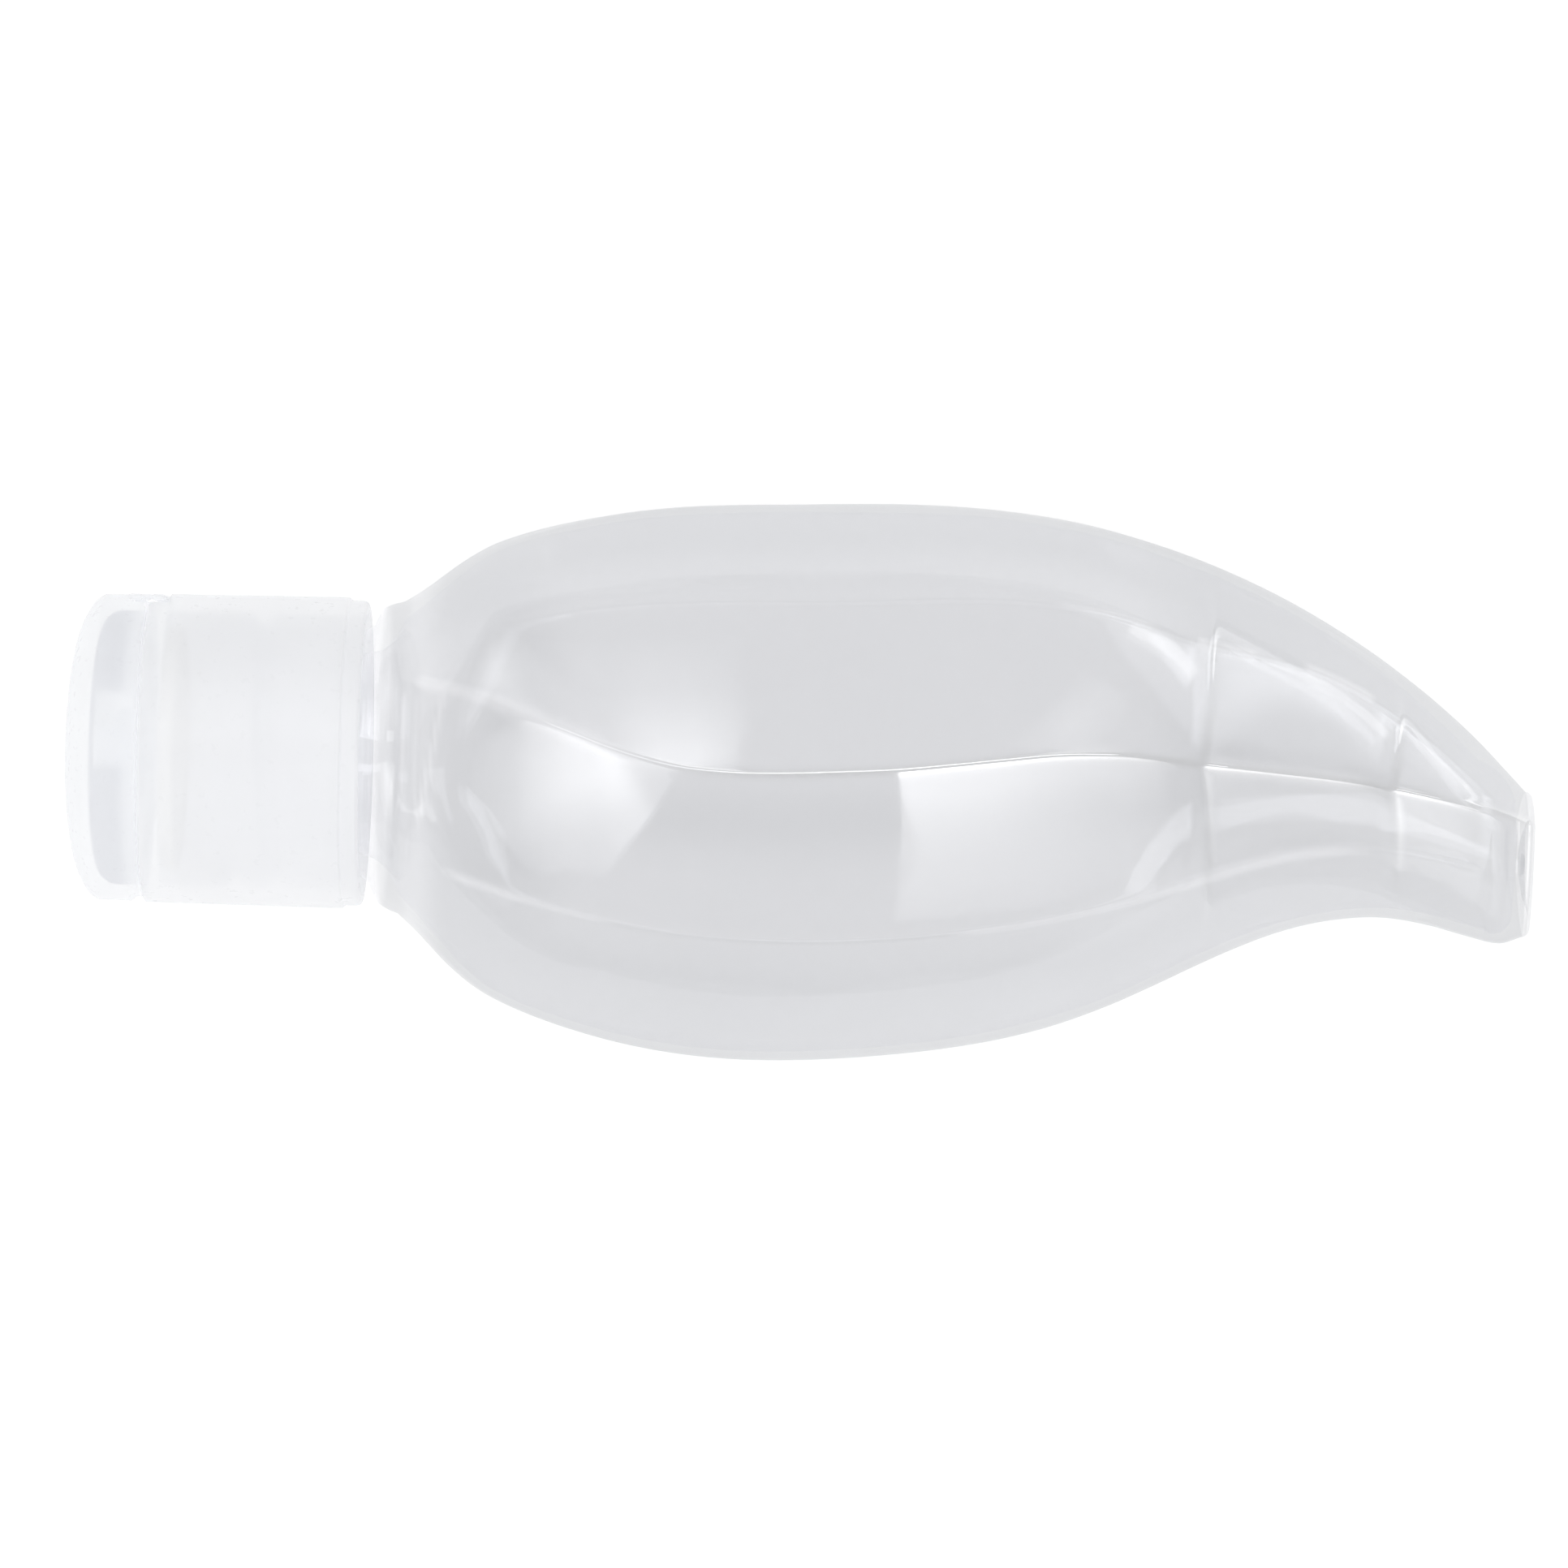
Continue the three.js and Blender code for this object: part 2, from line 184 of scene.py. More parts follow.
def denser(profile, step):
    """The profile with points added where they lie further apart than step, a number or a function of x."""
    out = [profile[0]]
    for p, q in zip(profile[:-1], profile[1:]):
        s = step((p[0] + q[0]) / 2) if callable(step) else step
        n = max(1, int(math.ceil(np.linalg.norm(q - p) / s)))
        for k in range(1, n + 1):
            out.append(p + (q - p) * k / n)
    return np.array(out)


def thread_height(x, f, thread):
    """0 to 1: how high the thread stands at x and f, a turn counted from the front towards the top."""
    a = (0.25 - f) % 1.0
    best = np.zeros_like(f)
    for k in range(-1, 4):
        w = a + k - thread["start"]
        inside = (w >= 0) & (w <= thread["turns"])
        d = np.abs(x - (THREAD_START + thread["offset"] + PITCH * (thread["start"] + w)))
        up = 1 - smoothstep(thread["half_tip"], thread["half_root"], d)
        fade = smoothstep(0, 0.1, np.minimum(w, thread["turns"] - w))
        best = np.maximum(best, np.where(inside, up * fade, 0))
    return best


def turned(profile, m, radius=None):
    """Rings of a solid of revolution about X. radius(x, r, f) gives each point's own radius."""
    f = np.arange(m) / m
    rings = []
    for x, r in profile:
        rr = np.full(m, r) if radius is None else radius(x, r, f)
        rings.append(np.stack([np.full(m, x), rr * np.sin(2 * np.pi * f), rr * np.cos(2 * np.pi * f)], 1))
    return rings


# ------------------------------------------------------------------ bottle skin
def column(c, x):
    T, n = SECTIONS, len(SECTIONS)
    i = int(np.clip(np.searchsorted(T[:, 0], x) - 1, 0, n - 2))

    def slope(k):
        a, b = max(0, k - 1), min(n - 1, k + 1)
        return (T[b, c] - T[a, c]) / (T[b, 0] - T[a, 0])
    h = T[i + 1, 0] - T[i, 0]
    t = (x - T[i, 0]) / h
    t2, t3 = t * t, t * t * t
    return ((2 * t3 - 3 * t2 + 1) * T[i, c] + (t3 - 2 * t2 + t) * h * slope(i)
            + (-2 * t3 + 3 * t2) * T[i + 1, c] + (t3 - t2) * h * slope(i + 1))


def back_depth(r, d=0.25, f=AXIS_HEIGHT):
    if r <= f - d:
        return r
    if r >= f + d:
        return f
    return r - (r - (f - d)) ** 2 / (4 * d)


def ridges(x):
    top, bottom, front, low, up = [column(c, x) for c in range(1, 6)]
    mid, half = (top + bottom) / 2, (top - bottom) / 2
    R = half / 0.951057
    zf = math.sqrt(max(0.0, R * R - (front - mid) ** 2))
    zb = -back_depth(0.809017 * R)
    return mid, half, [(front, zf), (top, 0.309017 * R), (up, zb), (low, zb), (bottom, 0.309017 * R)]


def front_turn(x):
    """How far round to one side the front ridge lies, in radians."""
    top, bottom, front = [column(c, x) for c in (1, 2, 3)]
    return math.asin((front - (top + bottom) / 2) / ((top - bottom) / 2 / 0.951057))


def round_angles(f, turn):
    """Angles on a round section for the places f, so that its ridges lie in the same directions as those of the ridged one."""
    f = np.asarray(f, float)
    return 2 * np.pi * f + turn * (np.clip(1 - 5 * f, 0, 1) + np.clip(5 * f - 4, 0, 1))


def bulge(x):
    return float(0.15 - 0.05 * smoothstep(5, 18, x) - 0.03 * smoothstep(52, 68, x))


# two scalloped creases: where the stem leaves the body, and where its flared end begins
CREASES = [  # x at the ridges, x added in the middle of a face, depth as a share of the height, fall-off before and after
    (61.4, 0.9, 0.046, 1.9, 4.2),
    (75.8, 0.6, 0.052, 1.7, 3.4),
]


def crease_share(k, t):
    """How much of the crease the faces keep: all of it at the front ridge, a little on the sides and the back."""
    k, t = np.broadcast_arrays(k, t)
    from_front = np.where(k == 0, t, np.where(k == 4, 1 - t, 1.0))
    return 1 - 0.72 * smoothstep(0.4, 0.9, from_front)


def crease(x, t, k):
    total = np.zeros_like(t)
    for at, scallop, depth, before, after in CREASES:
        d = x - (at + scallop * 4 * t * (1 - t))
        soft = np.sqrt(d * d + 0.28 ** 2) - 0.28
        total += depth * np.exp(-soft / np.where(d < 0, before, after))
    return total * crease_share(k, t)


DENSE = 72
T_DENSE = np.arange(DENSE) / DENSE
FACE_STEPS = 48
S_FACE = np.arange(FACE_STEPS) / FACE_STEPS
T_FACE = S_FACE - 0.8 * np.sin(2 * np.pi * S_FACE) / (2 * np.pi)
M = 5 * FACE_STEPS
F_RING = np.concatenate([(k + T_FACE) / 5 for k in range(5)])


# Painted highlight lines: the mirroring of each ridge is raised by these shares, not by its shape
RIDGE_SHARE = [0.8, 0.25, 0.1, 0.1, 0.25]         # how strongly each ridge mirrors: front, top, upper back, lower back, bottom


def painted_light_marks(x, place, run, total):
    """Two rows of 0 to 1 painted along the section: how much mirroring is painted onto each place at a ridge or a
    crease, to draw highlight lines, and how much lighter its wall is made there, as painted highlight lines and lighter
    tones.
    """
    near, clear = np.zeros_like(place), np.zeros_like(place)
    # painted highlight lines along the front, upper back and lower back ridges, with short painted glints on the stem's
    # upper back ridge
    thin = {0: 0.95 * float(smoothstep(2.6, 4.5, x)) * (1 - float(smoothstep(12, 24, x))) + 0.7 * float(smoothstep(61, 63, x)) * (1 - float(smoothstep(71, 75, x))),
            2: float(smoothstep(48, 53, x) * (1 - smoothstep(58, 60.5, x)) + smoothstep(61.8, 62.4, x) * (1 - smoothstep(66, 67, x)) + smoothstep(69.8, 70.6, x) * (1 - smoothstep(74.8, 75.8, x))),
            3: float(smoothstep(4, 7, x)) * (1 - float(smoothstep(16, 20, x))) + float(smoothstep(41, 46, x)) * (1 - float(smoothstep(72, 77, x)))}
    for k in range(5):
        d = np.abs(place - run[k * DENSE])
        d = np.minimum(d, total - d)
        near = np.maximum(near, RIDGE_SHARE[k] * np.exp(-(d / 0.38) ** 2))
        clear = np.maximum(clear, thin.get(k, 0.0) * np.exp(-(d / (0.75 if k == 0 else 0.42 + 0.2 * float(smoothstep(40, 50, x)))) ** 2))
    near = near * float(smoothstep(18, 32, x))
    face, t = np.floor(F_RING * 5).astype(int), (F_RING * 5) % 1.0
    # painted mirroring along the two creases, so that they show as lines
    for at, scallop, *_ in CREASES:
        near = np.maximum(near, 0.42 * crease_share(face, t) ** 2 * np.exp(-((x - (at + scallop * 4 * t * (1 - t))) / 0.32) ** 2))
    # painted highlights: a light arc where the lower front face starts out of the round shoulder, and two light rings
    # on the collar; painted lighter tones on the shoulder, the collar's foot, the stem and the faces below
    start = np.where(face == 4, smoothstep(0.42, 0.58, t), 0.0)
    clear = np.maximum(clear, 0.95 * start * np.exp(-((x - (2.3 + 3.7 * t)) / 0.3) ** 2))
    front = np.where(face == 4, smoothstep(0.5, 0.62, t) * (1 - smoothstep(0.92, 1.0, t)), 0.0)
    clear = np.maximum(clear, front * (0.9 * math.exp(-((x - 2.95) / 0.16) ** 2) + 0.6 * math.exp(-((x - 3.9) / 0.16) ** 2)))
    shoulder = np.where(face == 4, smoothstep(0.4, 0.7, t), np.where(face == 0, 1 - smoothstep(0.0, 0.6, t), 0.0))
    clear = np.maximum(clear, 0.4 * shoulder * float(smoothstep(2.5, 4.5, x)) * (1 - float(smoothstep(8, 12, x))))
    clear = np.maximum(clear, (0.15 + 0.3 * float(smoothstep(2.5, 3.3, x))) * (1 - float(smoothstep(3.0, 6.0, x))) + 0.08 * float(smoothstep(60, 66, x)))
    below = np.where(face == 2, 0.78 - 0.42 * np.exp(-((t - 0.645) / 0.11) ** 2),
                     np.where(face == 1, 0.6 * smoothstep(0.6, 0.97, t), np.where(face == 3, 0.5 * (1 - smoothstep(0.0, 0.25, t)), 0.0)))
    clear = np.maximum(clear, below * float(smoothstep(8, 16, x)) * (1 - float(smoothstep(56, 66, x))))
    return near, clear


def section(x, beaded=True):
    """The section at x, M points [y, z]: five bulged faces between the ridges, the ridges softened and, on the outside, beaded."""
    mid, half, pts = ridges(x)
    turn = front_turn(x)
    yz, fs = [], []
    for k in range(5):
        (y0, z0), (y1, z1) = pts[k], pts[(k + 1) % 5]
        dy, dz = y1 - y0, z1 - z0
        L = math.hypot(dy, dz)
        sag = bulge(x) * L
        if k == 2:
            sag = min(sag, 0.5 * max(0.0, AXIS_HEIGHT + min(z0, z1)))
        s = 4 * T_DENSE * (1 - T_DENSE) * sag
        y = y0 + dy * T_DENSE - dz / L * s
        z = z0 + dz * T_DENSE + dy / L * s
        f = (k + T_DENSE) / 5
        w = float(smoothstep(2.2, 9.5, x))
        a = round_angles(f, turn)
        y = (1 - w) * (mid + half * np.sin(a)) + w * y
        z = (1 - w) * (half * np.cos(a)) + w * z
        z = z * (1 - crease(x, T_DENSE, k))
        yz.append(np.stack([y, np.maximum(z, -AXIS_HEIGHT)], 1))
        fs.append(f)
    yz, fs = np.concatenate(yz), np.concatenate(fs)
    # blur along the section, by its length
    loop = np.concatenate([yz, yz[:1]])
    run = np.concatenate([[0], np.cumsum(np.linalg.norm(np.diff(loop, axis=0), axis=1))])
    total, n = run[-1], 1200
    at = np.arange(n) / n * total
    even = np.stack([np.interp(at, run, loop[:, 0]), np.interp(at, run, loop[:, 1])], 1)
    sigma = RIDGE_SOFTNESS * min(1.0, 0.45 + half / 30)
    k = np.fft.rfftfreq(n, d=total / n)
    soft = np.fft.irfft(np.fft.rfft(even, axis=0) * np.exp(-2 * (np.pi * sigma * k) ** 2)[:, None], n=n, axis=0)
    if beaded:
        step = np.roll(soft, -1, axis=0) - np.roll(soft, 1, axis=0)
        out = np.stack([step[:, 1], -step[:, 0]], 1) / np.linalg.norm(step, axis=1)[:, None]
        if np.sum(out * (soft - soft.mean(axis=0))) < 0:
            out = -out
        high = BEAD * float(smoothstep(16, 30, x)) * (0.6 + 0.4 * (1 - float(smoothstep(60, 80, x))))
        for k in range(5):
            d = np.abs(at - run[k * DENSE])
            d = np.minimum(d, total - d)
            soft = soft + out * (BEAD_SHARE[k] * high * np.exp(-(d / BEAD_HALF) ** 2))[:, None]
        soft[:, 1] = np.maximum(soft[:, 1], -AXIS_HEIGHT)
    want = np.interp(F_RING, np.concatenate([fs, [1.0]]), run)
    soft = np.concatenate([soft, soft[:1]])
    at = np.concatenate([at, [total]])
    return np.stack([np.interp(want, at, soft[:, 0]), np.interp(want, at, soft[:, 1])], 1), painted_light_marks(x, want, run, total)


def stations():
    xs = [2.4]
    while xs[-1] < 86.0:
        x = xs[-1]
        step = 0.3 if x < 12 else 0.6
        if 60.0 < x < 66.0 or 74.6 < x < 79.0:
            step = 0.16
        elif 66.0 <= x <= 74.6 or 52 < x <= 60.0 or x >= 79:
            step = 0.4
        xs.append(x + step)
    xs[-1] = 86.0
    return np.array(xs)


XS = stations()
OUTER = np.stack([np.column_stack([np.full(M, x), section(x)[0]]) for x in XS])   # stations, around, xyz
PLAIN = np.stack([np.column_stack([np.full(M, x), section(x, False)[0]]) for x in XS])
PAINTED_MARKS = np.stack([section(x, False)[1] for x in XS])                              # stations, two rows, around


def unit(v):
    return v / np.maximum(np.linalg.norm(v, axis=-1, keepdims=True), 1e-12)


def outward(grid):
    along = np.gradient(grid, axis=0)
    around = np.roll(grid, -1, axis=1) - np.roll(grid, 1, axis=1)
    n = unit(np.cross(along, around))
    centre = grid.mean(axis=1, keepdims=True)
    flip = np.sum(n * (grid - centre), axis=-1, keepdims=True) < 0
    return np.where(flip, -n, n)


def wall_ripple(x, f):
    """Slow waves of a blown wall's thickness, in millimetres."""
    a = 2 * np.pi * f
    return (0.045 * np.sin(3 * a + 0.11 * x + 0.7) * np.sin(0.16 * x + 0.4)
            + 0.03 * np.sin(7 * a - 0.23 * x) * np.sin(0.31 * x + 1.9)
            + 0.018 * np.sin(11 * a + 0.41 * x + 2.1))


# ------------------------------------------------------------------ materials
def material(name):
    m = bpy.data.materials.new(name)
    m.use_nodes = True
    nodes, links = m.node_tree.nodes, m.node_tree.links
    nodes.clear()
    out = nodes.new("ShaderNodeOutputMaterial")
    return m, nodes, links, out


def ramp(nodes, links, source, stops):
    r = nodes.new("ShaderNodeValToRGB")
    e = r.color_ramp.elements
    e[0].position, e[0].color = stops[0][0], (*stops[0][1], 1)
    e[1].position, e[1].color = stops[-1][0], (*stops[-1][1], 1)
    for pos, col in stops[1:-1]:
        k = e.new(pos)
        k.color = (*col, 1)
    links.new(source, r.inputs["Fac"])
    return r.outputs["Color"]


def noise(nodes, links, coords, scale, detail=3.0, rough=0.5, stretch=None):
    if stretch is not None:
        mp = nodes.new("ShaderNodeMapping")
        mp.inputs["Scale"].default_value = stretch
        links.new(coords, mp.inputs["Vector"])
        coords = mp.outputs["Vector"]
    n = nodes.new("ShaderNodeTexNoise")
    n.inputs["Scale"].default_value = scale
    n.inputs["Detail"].default_value = detail
    n.inputs["Roughness"].default_value = rough
    links.new(coords, n.inputs["Vector"])
    return n.outputs["Fac"]


def spread(nodes, links, source, low, high):
    r = nodes.new("ShaderNodeMapRange")
    r.inputs["From Min"].default_value = 0.3
    r.inputs["From Max"].default_value = 0.7
    r.inputs["To Min"].default_value = low
    r.inputs["To Max"].default_value = high
    links.new(source, r.inputs["Value"])
    return r.outputs["Result"]


def bump(nodes, links, height, strength, distance, under=None):
    b = nodes.new("ShaderNodeBump")
    b.inputs["Strength"].default_value = strength
    b.inputs["Distance"].default_value = distance
    links.new(height, b.inputs["Height"])
    if under is not None:
        links.new(under, b.inputs["Normal"])
    return b.outputs["Normal"]


def lamps_pass(nodes, links, out, shader, tint):
    """Lamps shine through the piece, tinted, so that its shadow stays light."""
    clear = nodes.new("ShaderNodeBsdfTransparent")
    clear.inputs["Color"].default_value = (*tint, 1)
    path = nodes.new("ShaderNodeLightPath")
    mix = nodes.new("ShaderNodeMixShader")
    links.new(path.outputs["Is Shadow Ray"], mix.inputs["Fac"])
    links.new(shader, mix.inputs[1])
    links.new(clear.outputs["BSDF"], mix.inputs[2])
    links.new(mix.outputs["Shader"], out.inputs["Surface"])


def clear_pet():
    """A thin clear wall: what is behind it shows unbent, and it mirrors more the flatter it is seen."""
    m, nodes, links, out = material("clear_pet")
    co = nodes.new("ShaderNodeTexCoord").outputs["Object"]
    slow = noise(nodes, links, co, 45, 2.0)
    fine = noise(nodes, links, co, 900, 4.0, 0.6)
    lines = noise(nodes, links, co, 160, 2.0, 0.5, (0.18, 1.0, 1.0))
    normal = bump(nodes, links, lines, 0.06, 0.0006)
    film = nodes.new("ShaderNodeBsdfTransparent")
    # Painted light: this mark lets more light through the film on the inner side, and at painted highlight lines and
    # lighter tones on the bottle
    side = nodes.new("ShaderNodeAttribute")
    side.attribute_name = "clearer_and_painted_light"
    tint = nodes.new("ShaderNodeMix")
    tint.data_type = "RGBA"
    links.new(side.outputs["Fac"], tint.inputs["Factor"])
    links.new(ramp(nodes, links, slow, [(0.3, (0.832, 0.836, 0.844)), (0.7, (0.844, 0.848, 0.856))]), tint.inputs["A"])
    tint.inputs["B"].default_value = (0.985, 0.985, 0.990, 1)
    links.new(tint.outputs["Result"], film.inputs["Color"])
    gloss = nodes.new("ShaderNodeBsdfGlossy")
    gloss.inputs["Color"].default_value = (1, 1, 1, 1)
    links.new(spread(nodes, links, fine, 0.03, 0.07), gloss.inputs["Roughness"])
    links.new(normal, gloss.inputs["Normal"])
    facing = nodes.new("ShaderNodeLayerWeight")
    facing.inputs["Blend"].default_value = 0.5
    links.new(normal, facing.inputs["Normal"])
    steep = nodes.new("ShaderNodeMath")
    steep.operation = "POWER"
    steep.inputs[1].default_value = 5.0
    links.new(facing.outputs["Facing"], steep.inputs[0])
    share = nodes.new("ShaderNodeMath")
    share.operation = "MULTIPLY_ADD"
    share.inputs[1].default_value = 0.30
    share.inputs[2].default_value = 0.05
    links.new(steep.outputs["Value"], share.inputs[0])
    # mirroring painted stronger along the ridges and creases by the ridge mark, so that they show as highlight lines
    ridge = nodes.new("ShaderNodeAttribute")
    ridge.attribute_name = "ridge"
    painted_mirror = nodes.new("ShaderNodeMath")
    painted_mirror.operation = "MULTIPLY_ADD"
    painted_mirror.inputs[1].default_value = 0.28
    links.new(ridge.outputs["Fac"], painted_mirror.inputs[0])
    links.new(share.outputs["Value"], painted_mirror.inputs[2])
    mix = nodes.new("ShaderNodeMixShader")
    links.new(painted_mirror.outputs["Value"], mix.inputs["Fac"])
    links.new(film.outputs["BSDF"], mix.inputs[1])
    links.new(gloss.outputs["BSDF"], mix.inputs[2])
    links.new(mix.outputs["Shader"], out.inputs["Surface"])
    return m


def natural_pp():
    """Milky plastic: part of the light that meets it goes on inside, scattered."""
    m, nodes, links, out = material("natural_pp")
    co = nodes.new("ShaderNodeTexCoord").outputs["Object"]
    p = nodes.new("ShaderNodeBsdfPrincipled")
    p.inputs["IOR"].default_value = 1.49
    slow = noise(nodes, links, co, 120, 3.0)
    milk = ramp(nodes, links, slow, [(0.3, (0.956, 0.958, 0.963)), (0.7, (0.976, 0.978, 0.981))])
    # Painted shade: a point mark darkens the milky colour to a bluish grey on the lid's hollow underside, where shade
    # falls
    cavity_shade = nodes.new("ShaderNodeAttribute")
    cavity_shade.attribute_name = "cavity_shade"
    cavity_shaded_milk = nodes.new("ShaderNodeMix")
    cavity_shaded_milk.data_type = "RGBA"
    links.new(cavity_shade.outputs["Fac"], cavity_shaded_milk.inputs["Factor"])
    links.new(milk, cavity_shaded_milk.inputs["A"])
    cavity_shaded_milk.inputs["B"].default_value = (0.65, 0.657, 0.695, 1)
    milk = cavity_shaded_milk.outputs["Result"]
    links.new(milk, p.inputs["Base Color"])
    fine = noise(nodes, links, co, 1500, 3.0, 0.6)
    links.new(spread(nodes, links, fine, 0.26, 0.36), p.inputs["Roughness"])
    grain = noise(nodes, links, co, 700, 1.0, 0.5)
    flow = noise(nodes, links, co, 220, 2.0, 0.5, (0.25, 1.0, 1.0))
    under = bump(nodes, links, flow, 0.05, 0.0004)
    links.new(bump(nodes, links, grain, 0.05, 0.0001, under), p.inputs["Normal"])
    inside = nodes.new("ShaderNodeBsdfTranslucent")
    links.new(milk, inside.inputs["Color"])
    milky = nodes.new("ShaderNodeMixShader")
    milky.inputs["Fac"].default_value = 0.42
    links.new(p.outputs["BSDF"], milky.inputs[1])
    links.new(inside.outputs["BSDF"], milky.inputs[2])
    see = nodes.new("ShaderNodeBsdfTransparent")
    see.inputs["Color"].default_value = (0.975, 0.978, 0.985, 1)
    sheer = nodes.new("ShaderNodeAttribute")
    sheer.attribute_name = "sheer"
    share = nodes.new("ShaderNodeMath")
    share.operation = "MULTIPLY_ADD"
    share.inputs[1].default_value = 0.5
    share.inputs[2].default_value = 0.45
    links.new(sheer.outputs["Fac"], share.inputs[0])
    thin = nodes.new("ShaderNodeMixShader")
    links.new(share.outputs["Value"], thin.inputs["Fac"])
    links.new(milky.outputs["Shader"], thin.inputs[1])
    links.new(see.outputs["BSDF"], thin.inputs[2])
    lamps_pass(nodes, links, out, thin.outputs["Shader"], (0.84, 0.845, 0.85))
    return m


def foam_liner():
    m, nodes, links, out = material("foam_liner")
    co = nodes.new("ShaderNodeTexCoord").outputs["Object"]
    p = nodes.new("ShaderNodeBsdfPrincipled")
    p.inputs["Sheen Weight"].default_value = 0.1
    cells = nodes.new("ShaderNodeTexVoronoi")
    cells.inputs["Scale"].default_value = 3200
    links.new(co, cells.inputs["Vector"])
    slow = noise(nodes, links, co, 400, 3.0)
    links.new(ramp(nodes, links, slow, [(0.3, (0.80, 0.79, 0.77)), (0.7, (0.88, 0.87, 0.85))]), p.inputs["Base Color"])
    links.new(spread(nodes, links, slow, 0.6, 0.75), p.inputs["Roughness"])
    links.new(bump(nodes, links, cells.outputs["Distance"], 0.25, 0.00012), p.inputs["Normal"])
    links.new(p.outputs["BSDF"], out.inputs["Surface"])
    return m


PET, PP, FOAM = clear_pet(), natural_pp(), foam_liner()


